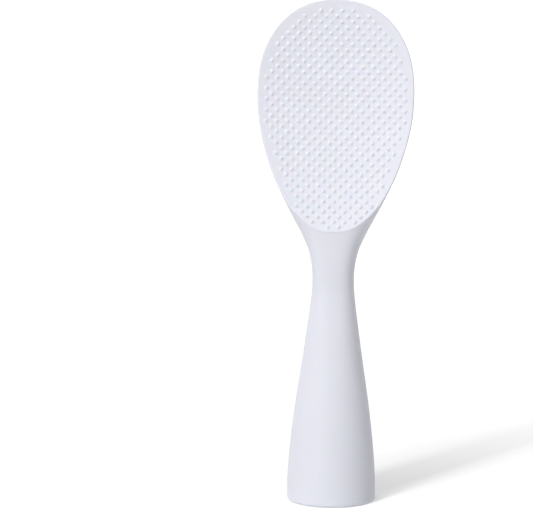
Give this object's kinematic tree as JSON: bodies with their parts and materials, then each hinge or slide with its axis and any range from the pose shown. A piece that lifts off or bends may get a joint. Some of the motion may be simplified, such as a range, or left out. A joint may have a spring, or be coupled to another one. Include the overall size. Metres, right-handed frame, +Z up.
{
  "type": "rice paddle",
  "caption": "Free-standing rice paddle: a scooped, dimpled blade on a flared hollow handle with a weighted, capped foot.",
  "frame": {"origin": "centre of the foot, in the plane of the surface that the paddle stands on", "axes": "+Z up the handle to the blade's tip, -Y the way the scooped face looks, +X to the right seen from the front"},
  "size_m": [0.0646, 0.0401, 0.2044],
  "materials": {
    "body_plastic": "satin white moulded polypropylene",
    "cap_plastic": "satin white moulded polypropylene",
    "seal_silicone": "matt translucent grey silicone",
    "weight_steel": "turned stainless steel"
  },
  "bodies": {
    "root": {"paddle_body": "body_plastic", "base_cap": "cap_plastic", "cap_seal": "seal_silicone", "ballast_weight": "weight_steel"}
  },
  "joints": []
}
